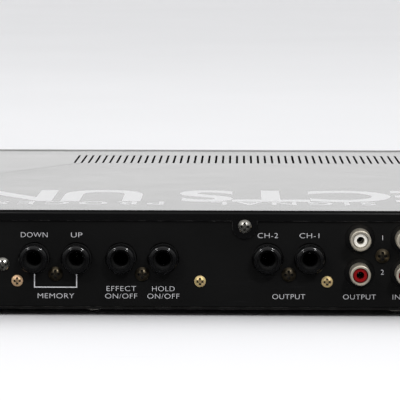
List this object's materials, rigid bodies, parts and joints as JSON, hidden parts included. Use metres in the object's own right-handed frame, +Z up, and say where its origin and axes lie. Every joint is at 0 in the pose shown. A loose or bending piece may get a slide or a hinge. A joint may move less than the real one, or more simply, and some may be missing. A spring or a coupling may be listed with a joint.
{
  "type": "rack effects unit",
  "caption": "Low black rack-mount audio processor: folded steel case with vented lid, rack ears, front knobs, keys and display, and a rear panel of jack, phono, data and mains sockets.",
  "frame": {"origin": "centre of the four rack slots, on the rear face of the front panel's ears", "axes": "+X to the right of someone facing the front panel, +Y back to the rear panel, +Z up"},
  "size_m": [0.4826, 0.305, 0.0443],
  "materials": {
    "case_black": "satin black paint on folded steel",
    "front_black": "satin black finish on aluminium plate",
    "zinc_steel": "bright zinc plate",
    "rubber": "matt",
    "nickel": "nickel plate",
    "nickel_shell": "satin nickel plate, a little dulled",
    "black_zinc": "black zinc plate, worn at the recess",
    "yellow_zinc": "yellow chromate on zinc",
    "contact_brass": "spring contact",
    "standoff_brass": "turned",
    "shaft_aluminium": "turned",
    "heatsink_aluminium": "black anodised",
    "jack_black": "glossy moulded",
    "connector_black": "fine moulded texture",
    "insert_white": "moulded",
    "insert_red": "moulded",
    "knob_black": "moulded, fine spark texture",
    "key_grey": "moulded",
    "window_smoke": "smoked acrylic",
    "module_dark": "display glass and frame",
    "led_red": "tinted epoxy",
    "board_green": "solder-masked fibreglass",
    "chip_black": "moulded epoxy",
    "capacitor_sleeve": "shrunk sleeve",
    "fuse_glass": "clear tube in clips",
    "core_iron": "varnished laminations",
    "coil_tape": "polyester tape",
    "ribbon_grey": "flat ribbon"
  },
  "bodies": {
    "root": {"board_brackets": "zinc_steel", "board_standoffs": "standoff_brass", "bottom_pan": "case_black", "bracket_screws": "yellow_zinc", "capacitors": "capacitor_sleeve", "case_screws": "nickel", "connector_screws": "black_zinc", "countersunk_screws": "black_zinc", "display_module": "module_dark", "display_window": "window_smoke", "front_panel": "front_black", "fuse": "fuse_glass", "heatsink": "heatsink_aluminium", "inlet_pins": "nickel_shell", "jack_block_effect": "jack_black", "jack_block_input": "jack_black", "jack_block_memory": "jack_black", "jack_block_output": "jack_black", "jack_contacts": "contact_brass", "key_board": "board_green", "level_switch_frame": "connector_black", "level_switch_screws": "black_zinc", "main_board": "board_green", "main_board_chips": "chip_black", "mains_inlet": "connector_black", "midi_screws": "nickel", "midi_sockets": "connector_black", "phono_block": "connector_black", "phono_inserts_red": "insert_red", "phono_inserts_white": "insert_white", "phono_shells": "nickel_shell", "potentiometers": "zinc_steel", "power_board": "board_green", "power_led": "led_red", "power_switch": "connector_black", "rear_panel": "case_black", "regulators": "chip_black", "ribbon_cable": "ribbon_grey", "rubber_feet": "rubber", "sub_panel": "zinc_steel", "tact_switches": "chip_black", "top_cover": "case_black", "transformer_coil": "coil_tape", "transformer_core": "core_iron"},
    "input_1_knob": {"knob_input_1": "knob_black", "shaft_input_1": "shaft_aluminium"},
    "input_2_knob": {"knob_input_2": "knob_black", "shaft_input_2": "shaft_aluminium"},
    "mix_knob": {"knob_mix": "knob_black", "shaft_mix": "shaft_aluminium"},
    "key_effect_cap": {"key_effect": "key_grey"},
    "key_hold_cap": {"key_hold": "key_grey"},
    "key_memory_down_cap": {"key_memory_down": "key_grey"},
    "key_memory_up_cap": {"key_memory_up": "key_grey"},
    "key_edit_cap": {"key_edit": "key_grey"},
    "key_store_cap": {"key_store": "key_grey"},
    "key_value_down_cap": {"key_value_down": "key_grey"},
    "key_value_up_cap": {"key_value_up": "key_grey"},
    "power_button_cap": {"power_button": "key_grey"},
    "level_switch_knob": {"level_switch_slider": "key_grey"}
  },
  "joints": [
    {"name": "input_1_turn", "type": "hinge", "parent": "root", "child": "input_1_knob", "pos_m": [-0.193, 0, 0], "axis": [0, 1, 0], "range_deg": [-150, 150]},
    {"name": "input_2_turn", "type": "hinge", "parent": "root", "child": "input_2_knob", "pos_m": [-0.168, 0, 0], "axis": [0, 1, 0], "range_deg": [-150, 150]},
    {"name": "mix_turn", "type": "hinge", "parent": "root", "child": "mix_knob", "pos_m": [-0.143, 0, 0], "axis": [0, 1, 0], "range_deg": [-150, 150]},
    {"name": "key_effect_press", "type": "slide", "parent": "root", "child": "key_effect_cap", "axis": [0, 1, 0], "range_m": [0, 0.001], "stiffness_N_per_m": 800},
    {"name": "key_hold_press", "type": "slide", "parent": "root", "child": "key_hold_cap", "axis": [0, 1, 0], "range_m": [0, 0.001], "stiffness_N_per_m": 800},
    {"name": "key_memory_down_press", "type": "slide", "parent": "root", "child": "key_memory_down_cap", "axis": [0, 1, 0], "range_m": [0, 0.001], "stiffness_N_per_m": 800},
    {"name": "key_memory_up_press", "type": "slide", "parent": "root", "child": "key_memory_up_cap", "axis": [0, 1, 0], "range_m": [0, 0.001], "stiffness_N_per_m": 800},
    {"name": "key_edit_press", "type": "slide", "parent": "root", "child": "key_edit_cap", "axis": [0, 1, 0], "range_m": [0, 0.001], "stiffness_N_per_m": 800},
    {"name": "key_store_press", "type": "slide", "parent": "root", "child": "key_store_cap", "axis": [0, 1, 0], "range_m": [0, 0.001], "stiffness_N_per_m": 800},
    {"name": "key_value_down_press", "type": "slide", "parent": "root", "child": "key_value_down_cap", "axis": [0, 1, 0], "range_m": [0, 0.001], "stiffness_N_per_m": 800},
    {"name": "key_value_up_press", "type": "slide", "parent": "root", "child": "key_value_up_cap", "axis": [0, 1, 0], "range_m": [0, 0.001], "stiffness_N_per_m": 800},
    {"name": "power_button_press", "type": "slide", "parent": "root", "child": "power_button_cap", "axis": [0, 1, 0], "range_m": [0, 0.003], "stiffness_N_per_m": 400},
    {"name": "level_switch_slide", "type": "slide", "parent": "root", "child": "level_switch_knob", "axis": [1, 0, 0], "range_m": [0, 0.004]}
  ]
}
